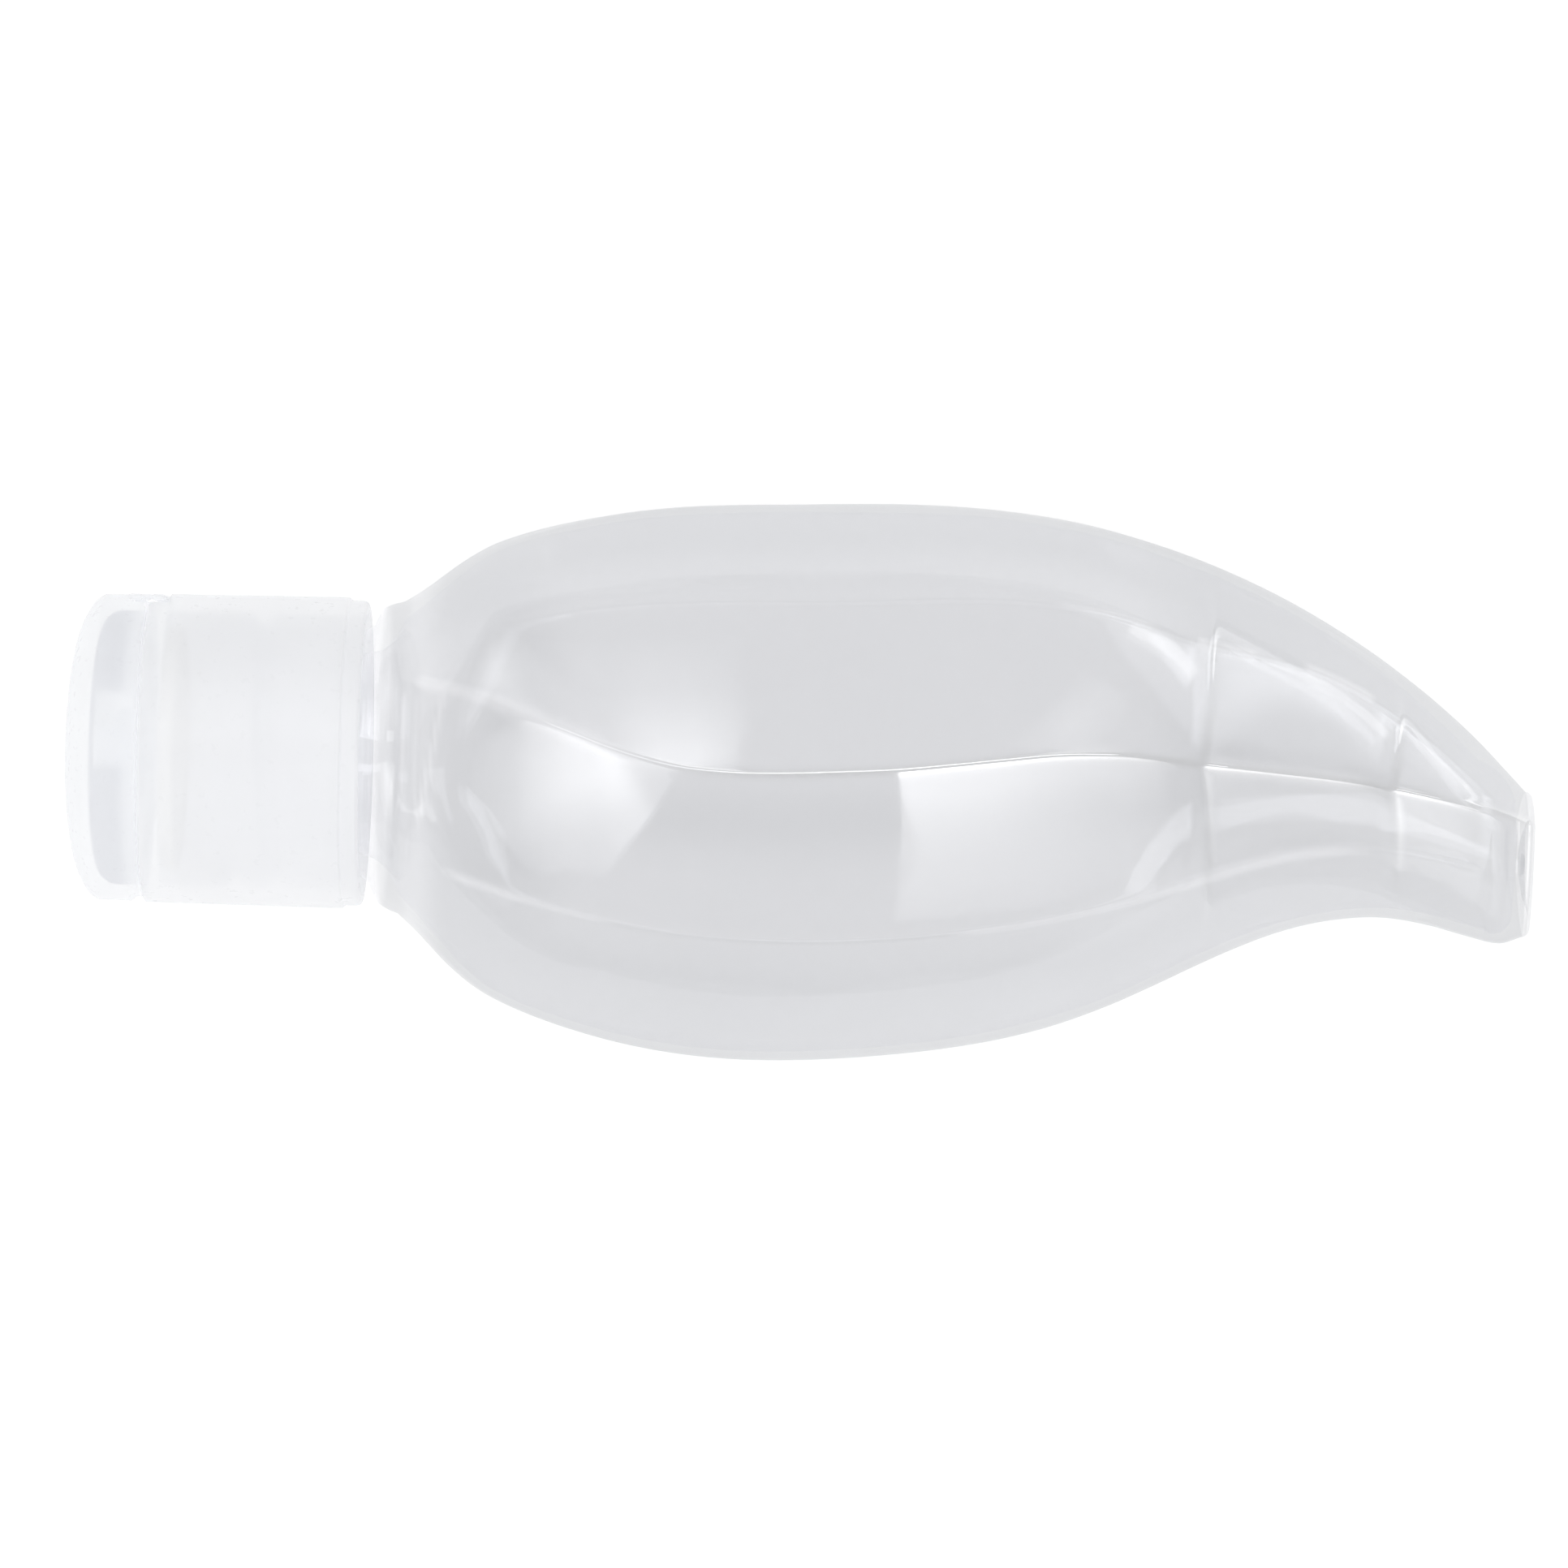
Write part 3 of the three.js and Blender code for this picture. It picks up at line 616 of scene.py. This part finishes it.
# ------------------------------------------------------------------ bottle
def bottle():
    normal = outward(PLAIN)
    rings = []
    end = OUTER[-1]
    mid = ridges(86.0)[0]

    def end_ring(x, share):
        return np.column_stack([np.full(M, x), mid + (end[:, 1] - mid) * share, end[:, 2] * share])
    # stem end: gate nub in a shallow push-up, flat rim, rounded edge
    rings.append(end_ring(86.24, 0.035))
    for x, s in [(86.25, 0.07), (86.22, 0.115), (86.12, 0.14), (85.94, 0.16), (85.86, 0.2), (85.88, 0.3), (86.02, 0.45), (86.26, 0.58),
                 (86.46, 0.68), (86.57, 0.76), (86.6, 0.82)]:
        rings.append(end_ring(x, s))
    for k in range(1, 9):
        a = k / 9 * math.pi / 2
        rings.append(end_ring(86.0 + 0.6 * math.cos(a), 0.86 + 0.14 * math.sin(a)))
    # painted on the stem end: some added mirroring and a lighter tone
    marks = [np.stack([np.full(M, 0.25), np.full(M, 0.55)]) for _ in rings]
    rings += [OUTER[i] for i in range(len(XS) - 1, -1, -1)]
    marks += [PAINTED_MARKS[i] for i in range(len(XS) - 1, -1, -1)]
    # collar, neck with transfer bead and thread, rim, bore
    f = F_RING
    first = OUTER[0]
    collar = rounded([(2.4, 11.65, 0), (1.5, 11.36, 0.5), (0.75, 10.95, 0.5), (0.4, 10.2, 0.4), (0.15, 9.5, 0.3), (-0.6, NECK_R, 0.4), (-1.4, NECK_R, 0)], 8)
    collar = denser(collar, 0.14)
    for x, r in collar[1:]:
        w = float(smoothstep(-0.6, 2.4, x))
        a = round_angles(f, front_turn(2.4) * float(smoothstep(-1.4, 2.4, x)))
        rings.append(np.column_stack([np.full(M, x), -0.23 * w + r * np.sin(a), r * np.cos(a)]))
    neck = rounded([(-1.4, NECK_R, 0), (-2.3, NECK_R, 0.25), (-2.55, BEAD_R, 0.25), (-3.45, BEAD_R, 0.25), (-3.7, NECK_R, 0.25), (-4.6, NECK_R, 0),
                    (-13.65, NECK_R, 0.3), (RIM_X, NECK_R - 0.32, 0.25), (RIM_X, BORE_R + 0.25, 0.22), (RIM_X + 0.3, BORE_R, 0.2), (-13.2, BORE_R, 0)], 6)
    neck = denser(neck, lambda x: 0.13 if x < -3.8 else 0.3)
    for x, r in neck[1:]:
        rr = np.full(M, r)
        if r > 8.9:
            rr = rr + (NECK_THREAD["tip"] - NECK_R) * thread_height(x, f, NECK_THREAD)
        rings.append(np.column_stack([np.full(M, x), rr * np.sin(2 * np.pi * f), rr * np.cos(2 * np.pi * f)]))
    # the inner side is clearer; the neck is made the clearest part, a painted lightening of the strip between cap and
    # collar, and the thread's crests get some painted mirroring
    for ring in rings[len(marks):]:
        x = ring[:, 0].mean()
        raised = np.clip((np.hypot(ring[:, 1], ring[:, 2]) - NECK_R) / 0.7, 0, 1) * (x < -2.2)
        marks.append(np.stack([0.3 * raised, np.full(M, 0.8 + 0.2 * float(smoothstep(-0.8, 0.0, x)) - 0.85 * float(smoothstep(0.7, 1.4, x)))]))
    bore = denser(rounded([(-13.2, BORE_R, 0), (-1.2, BORE_R, 2.0), (0.9, BORE_R + 0.55, 1.0), (1.9, BORE_R + 1.8, 0.8), (2.5, BORE_R + 3.0, 0)], 8), 0.5)
    for x, r in bore[1:]:
        w = float(smoothstep(-1.0, 2.5, x))
        a = round_angles(f, front_turn(2.4) * w)
        rings.append(np.column_stack([np.full(M, x), -0.2 * w + r * np.sin(a), r * np.cos(a)]))
    # inside of the wall
    for i, x in enumerate(XS):
        if 3.7 <= x <= 83.6 and (i % 2 == 0 or 59.5 < x < 80):
            wall = WALL + 0.35 * smoothstep(70, 84, x) + 0.25 * (1 - smoothstep(3, 9, x)) + wall_ripple(x, f) * smoothstep(4, 12, x)
            marks += [np.stack([np.zeros(M), np.ones(M)])] * (len(rings) - len(marks)) + [np.stack([PAINTED_MARKS[i][0], np.ones(M)])]
            rings.append(PLAIN[i] - normal[i] * np.reshape(wall, (-1, 1)))
    last = rings[-1]
    lx, lm = last[:, 0].mean(), last.mean(axis=0)
    for k in range(1, 8):
        a = k / 8 * math.pi / 2
        s = 0.62 + 0.38 * math.cos(a)
        x = lx + (INNER_END_X - lx) * math.sin(a)
        rings.append(np.column_stack([np.full(M, x), lm[1] + (last[:, 1] - lm[1]) * s - 0.5 * (x - lx), last[:, 2] * s]))
    base = rings[-1]
    tail = base.mean(axis=0)
    for s, back in ((0.8, 0.06), (0.62, 0.22), (0.45, 0.4), (0.25, 0.5), (0.08, 0.5)):
        rings.append(np.column_stack([np.full(M, INNER_END_X - back), tail[1] + (base[:, 1] - tail[1]) * s, base[:, 2] * s]))
    points, faces = skin_rings(rings, first_point=(86.24, mid, 0), last_point=(INNER_END_X - 0.5, tail[1], 0))
    marks += [np.stack([np.zeros(M), np.ones(M)])] * (len(rings) - len(marks))
    marks = np.concatenate(marks, axis=1)
    marks = np.concatenate([marks, [[0.25, 0], [0.55, 1]]], axis=1)
    return mesh_object("clear_bottle", points, faces, PET, {"ridge": marks[0], "clearer_and_painted_light": marks[1]})


# ------------------------------------------------------------------ closure
ROUND = 240


def flat_pocket(x, r, f):
    """The chord that the hinge pocket cuts off the round wall at +Y."""
    y = np.sin(2 * np.pi * f)
    rr = np.full_like(f, r)
    cut = (y > 0.5) & (rr * y > POCKET_Y)
    return np.where(cut, POCKET_Y / np.maximum(y, 0.5), rr)


def cap_base():
    # outside first, from the open end to the spout's mouth, then back through the orifice and the bore
    outline = rounded([
        (SKIRT_END_X, CAP_BORE_R + 0.25, 0),
        (SKIRT_END_X, SKIRT_R - 0.5, 0.16),
        (SKIRT_END_X - 0.16, SKIRT_R - 0.28, 0.16),
        (SKIRT_END_X - 0.55, SKIRT_R - 0.22, 0.25),
        (SKIRT_END_X - 1.2, SKIRT_R - 0.22, 0.06),
        (SKIRT_END_X - 1.34, SKIRT_R - 0.16, 0.06),
        (SKIRT_END_X - 1.42, SKIRT_R - 0.03, 0.08),
        (SKIRT_END_X - 1.7, SKIRT_R, 0.12),
        (POCKET_TO + 0.02, SKIRT_TOP_R + 0.005, 0),
        (POCKET_TO - 0.02, SKIRT_TOP_R + 0.003, 0),
        (DECK_TOP_X + 0.1, SKIRT_TOP_R, 0.08),
        (DECK_TOP_X, SKIRT_TOP_R - 0.1, 0.08),
        (DECK_TOP_X, LAND_R, 0.12),
        (LAND_X + 0.2, LAND_R, 0.1),
        (LAND_X, LAND_R - 0.2, 0.12),
        (LAND_X, LAND_R - 1.1, 0.12),
        (DECK_TOP_X, LAND_R - 1.3, 0.2),
        (DECK_TOP_X, SPOUT_R + 0.5, 0.4),
        (DECK_TOP_X - 0.5, SPOUT_R, 0.4),
        (SPOUT_X + 0.5, SPOUT_R - 0.25, 0.4),
        (SPOUT_X, SPOUT_R - 0.75, 0.3),
        (SPOUT_X, ORIFICE_R + 0.25, 0.15),
        (SPOUT_X + 0.3, ORIFICE_R, 0.2),
        (DECK_UNDER_X, ORIFICE_R, 0.12),
        (DECK_UNDER_X, CAP_BORE_R, 0.25),
        (SKIRT_END_X - 0.6, CAP_BORE_R, 0.2),
        (SKIRT_END_X, CAP_BORE_R + 0.25, 0),
    ], 5)
    outline = denser(outline, lambda x: 0.16)[:-1]

    def radius(x, r, f):
        rr = np.full_like(f, r)
        if abs(r - CAP_BORE_R) < 0.01 and x < -0.8:
            rr = rr - (CAP_BORE_R - CAP_THREAD["tip"]) * thread_height(x, f, CAP_THREAD)
        elif r > LAND_R + 0.05 and x < POCKET_TO:
            rr = flat_pocket(x, r, f)
        return rr
    points, faces = skin_rings(turned(outline, ROUND, radius), closed=True)
    return mesh_object("cap_shell", points, faces, PP)


def flip_lid():
    crown = [(LID_TOP_X + 2.6, LID_R - 0.02), (LID_TOP_X + 2.18, 11.16), (LID_TOP_X + 1.82, 10.8), (LID_TOP_X + 1.45, 10.2), (LID_TOP_X + 1.09, 9.5),
             (LID_TOP_X + 0.73, 8.4), (LID_TOP_X + 0.36, 6.5), (LID_TOP_X + 0.1, 3.8)]
    outline = rounded([
        (LID_RIM_X, LID_R - LID_WALL, 0),
        (LID_RIM_X, LID_R - 0.09, 0.07),
        (LID_RIM_X - 0.09, LID_R, 0.07),
        (POCKET_FROM + 0.02, LID_R, 0),
        (POCKET_FROM - 0.02, LID_R, 0),
        *[(x, r, 0.9) for x, r in crown],
        (LID_TOP_X + 0.005, 0.5, 0.3),
    ], 6)
    under = rounded([
        (PIN_TIP_X, 0.12, 0),
        (PIN_TIP_X, PIN_R - 0.35, 0.2),
        (PIN_TIP_X - 0.5, PIN_R, 0.3),
        (LID_TOP_X + 2.4, PIN_R + 0.1, 0.35),
        (LID_TOP_X + 1.95, PIN_R + 0.5, 0.35),
        (LID_TOP_X + 2.0, 5.5, 1.2),
        (LID_TOP_X + 2.2, 8.2, 0.9),
        (LID_TOP_X + 2.65, 9.6, 0.6),
        (LID_TOP_X + 3.4, LID_R - LID_WALL, 0.5),
        (LID_RIM_X - 0.4, LID_R - LID_WALL, 0),
        (LID_RIM_X, LID_R - LID_WALL, 0),
    ], 6)
    outline, under = denser(outline, 0.2), denser(under, 0.25)[:-1]

    def radius(x, r, f):
        rr = np.full_like(f, r)
        if r > LID_R - LID_WALL + 0.3:
            if x > POCKET_FROM:
                rr = flat_pocket(x, r, f)
            # fingernail lip opposite the hinge
            y, z = rr * np.sin(2 * np.pi * f), rr * np.cos(2 * np.pi * f)
            lip = smoothstep(LID_RIM_X - 0.95, LID_RIM_X - 0.45, x) * (1 - smoothstep(3.9, 4.6, np.abs(z))) * (y < 0)
            rr = rr - 0.32 * lip
        return rr

    def rib(y):
        return 1 - smoothstep(2.3, 3.2, np.abs(y - 1.3))

    def inside_radius(x, r, f):
        rr = np.full_like(f, r)
        if r > LID_R - LID_WALL - 0.9:
            rr = rr - 0.7 * rib(r * np.sin(2 * np.pi * f)) * (1 - float(smoothstep(LID_RIM_X - 1.3, LID_RIM_X - 0.9, x)))
        return rr
    rings = turned(outline, ROUND, radius)
    inner = turned(under, ROUND, inside_radius)
    # crown and underside are one closed skin: it runs over the crown to its middle, and again from the pin's tip to the rim
    a, fa = skin_rings(rings, last_point=(LID_TOP_X, 0, 0))
    b, fb = skin_rings(inner, first_point=(PIN_TIP_X, 0, 0))
    n = len(a)
    faces = list(fa) + [[v + n for v in q] for q in fb]
    o = n + (len(inner) - 1) * ROUND
    faces += [[k, (k + 1) % ROUND, o + (k + 1) % ROUND, o + k] for k in range(ROUND)]
    # painted shade mark on the lid's hollow underside, off the ribs and away from the pin and the rim
    between = 1 - rib(np.concatenate(inner)[:, 1]) * np.repeat(smoothstep(8.8, 9.6, under[:, 1]), ROUND)
    deep = smoothstep(PIN_R + 0.2, PIN_R + 1.2, under[:, 1]) * (1 - smoothstep(LID_RIM_X - 1.5, LID_RIM_X - 0.7, under[:, 0]))
    cavity_shade = np.concatenate([np.zeros(n), np.repeat(deep, ROUND) * between, [0.0]])
    return mesh_object("lid_shell", np.concatenate([a, b]), faces, PP, {"cavity_shade": cavity_shade, "sheer": np.full(len(cavity_shade), 0.35)})


def strap(name, z0, z1):
    """One strap of the living hinge: thick at both ends, thin and slightly waisted along the hinge line, with round edges."""
    xs = np.linspace(-17.85, -15.25, 41)
    around = 32
    rings = []
    zm, zh = (z0 + z1) / 2, (z1 - z0) / 2
    for x in xs:
        u = abs(x - HINGE_X) / 1.25
        thick = float(smoothstep(0.28, 0.5, u))
        low, high = 11.12 - 0.23 * thick, 11.36 + 0.05 * thick
        half_y, mid_y = (high - low) / 2, (high + low) / 2
        half_z = zh * (0.9 + 0.1 * float(smoothstep(0.1, 0.9, u)))
        ends = min(1.0, math.sqrt(max(0.0, 1 - (max(0.0, u - 0.86) / 0.18) ** 2)))
        a = 2 * np.pi * np.arange(around) / around
        c, s = np.cos(a), np.sin(a)
        # a box with round edges
        y = np.sign(s) * np.abs(s) ** 0.55 * half_y * max(0.35, ends)
        z = np.sign(c) * np.abs(c) ** 0.35 * half_z * (0.93 + 0.07 * ends)
        rings.append(np.column_stack([np.full(around, x), mid_y + y, zm + z]))
    points, faces = skin_rings(rings, first_point=(xs[0], mid_y, zm), last_point=(xs[-1], mid_y, zm))
    return mesh_object(name + "_film", points, faces, PP)


def seal():
    outline = rounded([(-14.1, 7.5, 0), (-14.1, 9.1, 0.18), (-15.1, 9.1, 0.18), (-15.1, 6.0, 0.18), (-14.1, 6.0, 0.18), (-14.1, 7.5, 0)], 5)
    outline = denser(outline, 0.25)[:-1]
    points, faces = skin_rings(turned(outline, 120), closed=True)
    return mesh_object("foam_ring", points, faces, FOAM)


body = bottle()
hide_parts("bottle_body")
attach(body, "bottle")

ring = seal()
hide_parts("seal_gasket")
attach(ring, "seal")

shell = cap_base()
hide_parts("cap_base")
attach(shell, "cap")

lid = flip_lid()
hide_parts("flip_lid")
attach(lid, "lid")

for name, (z0, z1) in STRAPS.items():
    film = strap(name, z0, z1)
    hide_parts(name)
    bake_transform(film)


# ------------------------------------------------------------------ floor, light, camera
def floor():
    data = bpy.data.meshes.new("floor")
    n, size = 72, 2.4
    points = [(0, 0, 0)] + [(size * math.cos(2 * math.pi * k / n), size * math.sin(2 * math.pi * k / n), 0) for k in range(n)]
    data.from_pydata(points, [], [(0, 1 + k, 1 + (k + 1) % n) for k in range(n)])
    m, nodes, links, out = material("floor_white")
    co = nodes.new("ShaderNodeTexCoord").outputs["Object"]
    p = nodes.new("ShaderNodeBsdfPrincipled")
    p.inputs["Roughness"].default_value = 0.9
    p.inputs["Specular IOR Level"].default_value = 0.1
    p.inputs["Emission Color"].default_value = (1, 1, 1, 1)
    p.inputs["Emission Strength"].default_value = 0.685
    slow = noise(nodes, links, co, 3, 2.0)
    links.new(ramp(nodes, links, slow, [(0.3, (0.39, 0.39, 0.39)), (0.7, (0.41, 0.41, 0.41))]), p.inputs["Base Color"])
    links.new(p.outputs["BSDF"], out.inputs["Surface"])
    data.materials.append(m)
    o = bpy.data.objects.new("floor", data)
    o.location = (0, 0, -0.0003)
    bpy.context.scene.collection.objects.link(o)


def panel(name, facing, position, right, width, height, radiance, across=None, upward=None):
    """A soft box. facing points from the object to it, right is its width's direction. across and upward are fall-offs: stops of (place, share)."""
    d = Vector(facing).normalized()
    r = Vector(right)
    r = (r - d * r.dot(d)).normalized()
    u = d.cross(r)
    lamp = bpy.data.lights.new(name, "AREA")
    lamp.shape = "RECTANGLE"
    lamp.size, lamp.size_y = width, height
    lamp.energy = radiance * math.pi * width * height
    if across or upward:
        lamp.use_nodes = True
        nodes, links = lamp.node_tree.nodes, lamp.node_tree.links
        shine = next(n for n in nodes if n.type == "EMISSION")
        place = nodes.new("ShaderNodeNewGeometry").outputs["Parametric"]
        xyz = nodes.new("ShaderNodeSeparateXYZ")
        links.new(place, xyz.inputs["Vector"])
        both = nodes.new("ShaderNodeVectorMath")
        both.operation = "MULTIPLY"
        both.inputs[0].default_value = both.inputs[1].default_value = (1, 1, 1)
        for k, (axis, stops) in enumerate((("X", across), ("Y", upward))):
            if stops:
                links.new(ramp(nodes, links, xyz.outputs[axis], [(at, (v, v, v)) for at, v in stops]), both.inputs[k])
        links.new(both.outputs["Vector"], shine.inputs["Color"])
    o = bpy.data.objects.new(name, lamp)
    o.matrix_world = Matrix(((r.x, u.x, d.x, position[0]), (r.y, u.y, d.y, position[1]), (r.z, u.z, d.z, position[2]), (0, 0, 0, 1)))
    o.visible_camera = False
    bpy.context.scene.collection.objects.link(o)
    return o


def toward(azimuth, tilt):
    a, t = math.radians(azimuth), math.radians(tilt)
    return (math.sin(t) * math.cos(a), math.sin(t) * math.sin(a), math.cos(t))


floor()
def out_along(direction, distance, height=0.03):
    d = Vector(direction).normalized() * distance
    return (d.x, d.y, d.z + height)


# an upright box on the left in front, a leaning one on the right in front, a weaker one behind, and low strips at both ends
side = toward(-150, 90)
panel("soft_left", side, (0.5 * side[0], 0.5 * side[1], 0.66), Vector((0, 0, 1)).cross(Vector(side)), 0.472, 0.78, 4.5,
      across=[(0.0, 0.35), (0.15, 0.52), (0.43, 0.68), (0.6, 0.8), (0.72, 0.72), (0.85, 0.54), (1.0, 0.46)],
      upward=[(0.0, 0.14), (0.12, 0.42), (0.2, 0.7), (0.28, 0.92), (0.37, 1.05), (0.5, 0.45), (1.0, 0.3)])
lean = (0.43, -0.62, 0.65)
panel("soft_right", lean, Vector(out_along(lean, 0.8)) + Vector((0.903, 0.296, -0.31)) * 0.09, (1, 0, 0), 0.595, 0.72, 3.2,
      across=[(0.0, 1.0), (0.3, 0.8), (0.65, 0.4), (1.0, 0.2)], upward=[(0.0, 0.15), (0.35, 0.4), (0.7, 1.0), (1.0, 1.0)])
rear = (-0.19, 0.75, 0.63)
panel("soft_rear", rear, Vector(out_along(rear, 0.8)) - Vector((0.08, 0, 0)), (1, 0, 0), 0.36, 0.52, 3.2,
      across=[(0.0, 0.1), (0.5, 0.3), (0.75, 0.9), (0.88, 0.9), (1.0, 0.35)], upward=[(0.0, 0.9), (0.25, 0.55), (0.55, 0.2), (1.0, 0.05)])
rear = toward(52, 52)
panel("soft_rear_right", rear, out_along(rear, 0.85), (-0.79, 0.62, 0), 0.22, 0.40, 0.8,
      across=[(0.0, 0.35), (0.5, 1.0), (1.0, 0.35)], upward=[(0.0, 0.4), (0.5, 1.0), (1.0, 0.4)])
rear = toward(140, 64)
panel("soft_rear_left", rear, out_along(rear, 0.9), (-0.64, -0.77, 0), 0.7, 0.6, 1.6,
      across=[(0.0, 0.1), (0.5, 1.0), (1.0, 0.1)], upward=[(0.0, 0.1), (0.5, 1.0), (1.0, 0.1)])
low = toward(-166, 80)
panel("strip_left", low, out_along(low, 0.9), (0.24, -0.97, 0), 0.30, 0.045, 1.3)
low = toward(48, 86)
panel("strip_right", low, out_along(low, 0.9), (-0.74, 0.67, 0), 0.3, 0.06, 1.5)
above = (0, 0.30, 0.95)
panel("strip_above", above, out_along(above, 0.85), (1, 0, 0), 1.5, 0.14, 1.8)

world = bpy.data.worlds.new("studio")
world.use_nodes = True
wn, wl = world.node_tree.nodes, world.node_tree.links
wn.clear()
w_out = wn.new("ShaderNodeOutputWorld")
w_bg = wn.new("ShaderNodeBackground")
w_co = wn.new("ShaderNodeTexCoord").outputs["Generated"]
w_xyz = wn.new("ShaderNodeSeparateXYZ")
wl.new(w_co, w_xyz.inputs["Vector"])
wl.new(ramp(wn, wl, w_xyz.outputs["Z"], [(0.0, (0.60, 0.60, 0.60)), (0.25, (0.53, 0.53, 0.53)), (0.5, (0.50, 0.50, 0.50)), (1.0, (0.53, 0.53, 0.53))]), w_bg.inputs["Color"])
wl.new(w_bg.outputs["Background"], w_out.inputs["Surface"])
bpy.context.scene.world = world

camera = bpy.data.cameras.new("camera")
camera.sensor_width = 36.0
camera.lens = 184.8
camera.clip_start, camera.clip_end = 0.01, 20
cam = bpy.data.objects.new("camera", camera)
cam.location = (-0.001143, -0.000264, 0.6155)
cam.rotation_euler = (0, 0, math.radians(1.432))
bpy.context.scene.collection.objects.link(cam)
bpy.context.scene.camera = cam

scene = bpy.context.scene
scene.view_settings.view_transform = "Standard"
scene.view_settings.look = "None"
scene.cycles.max_bounces = 20
scene.cycles.transmission_bounces = 20
scene.cycles.glossy_bounces = 8
scene.cycles.transparent_max_bounces = 24

bpy.context.view_layer.update()
